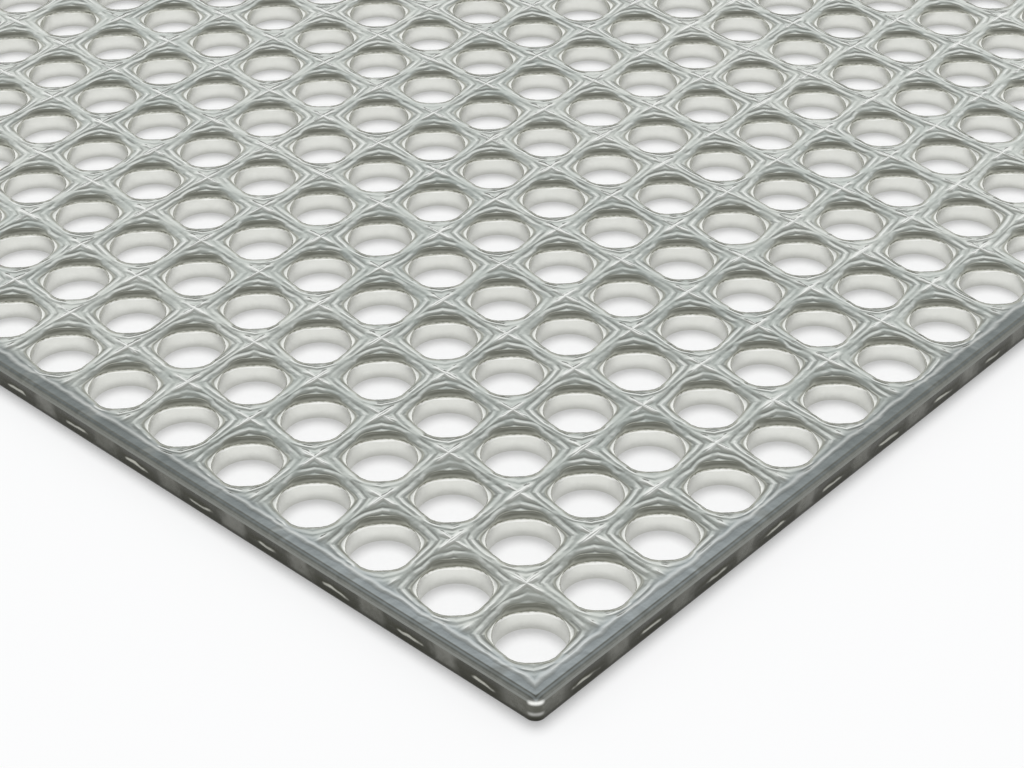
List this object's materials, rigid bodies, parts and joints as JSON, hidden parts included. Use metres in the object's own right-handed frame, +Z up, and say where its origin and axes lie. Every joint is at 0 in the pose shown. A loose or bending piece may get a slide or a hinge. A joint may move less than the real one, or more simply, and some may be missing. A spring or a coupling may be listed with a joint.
{
  "type": "perforated metal sheet",
  "caption": "Flat square sheet of steel, perforated all over with round holes in straight rows, with a plain strip along its edges.",
  "frame": {"origin": "centre of the underside, on the axis of the middle hole", "axes": "+Z up through the sheet's thickness; X and Y along the rows of holes, parallel to the sheet's sides"},
  "size_m": [0.15, 0.15, 0.003],
  "materials": {
    "sheet_metal": "mill finish steel, semi-bright, with bright rims at the holes"
  },
  "bodies": {
    "root": {"perforated_sheet": "sheet_metal"}
  },
  "joints": []
}
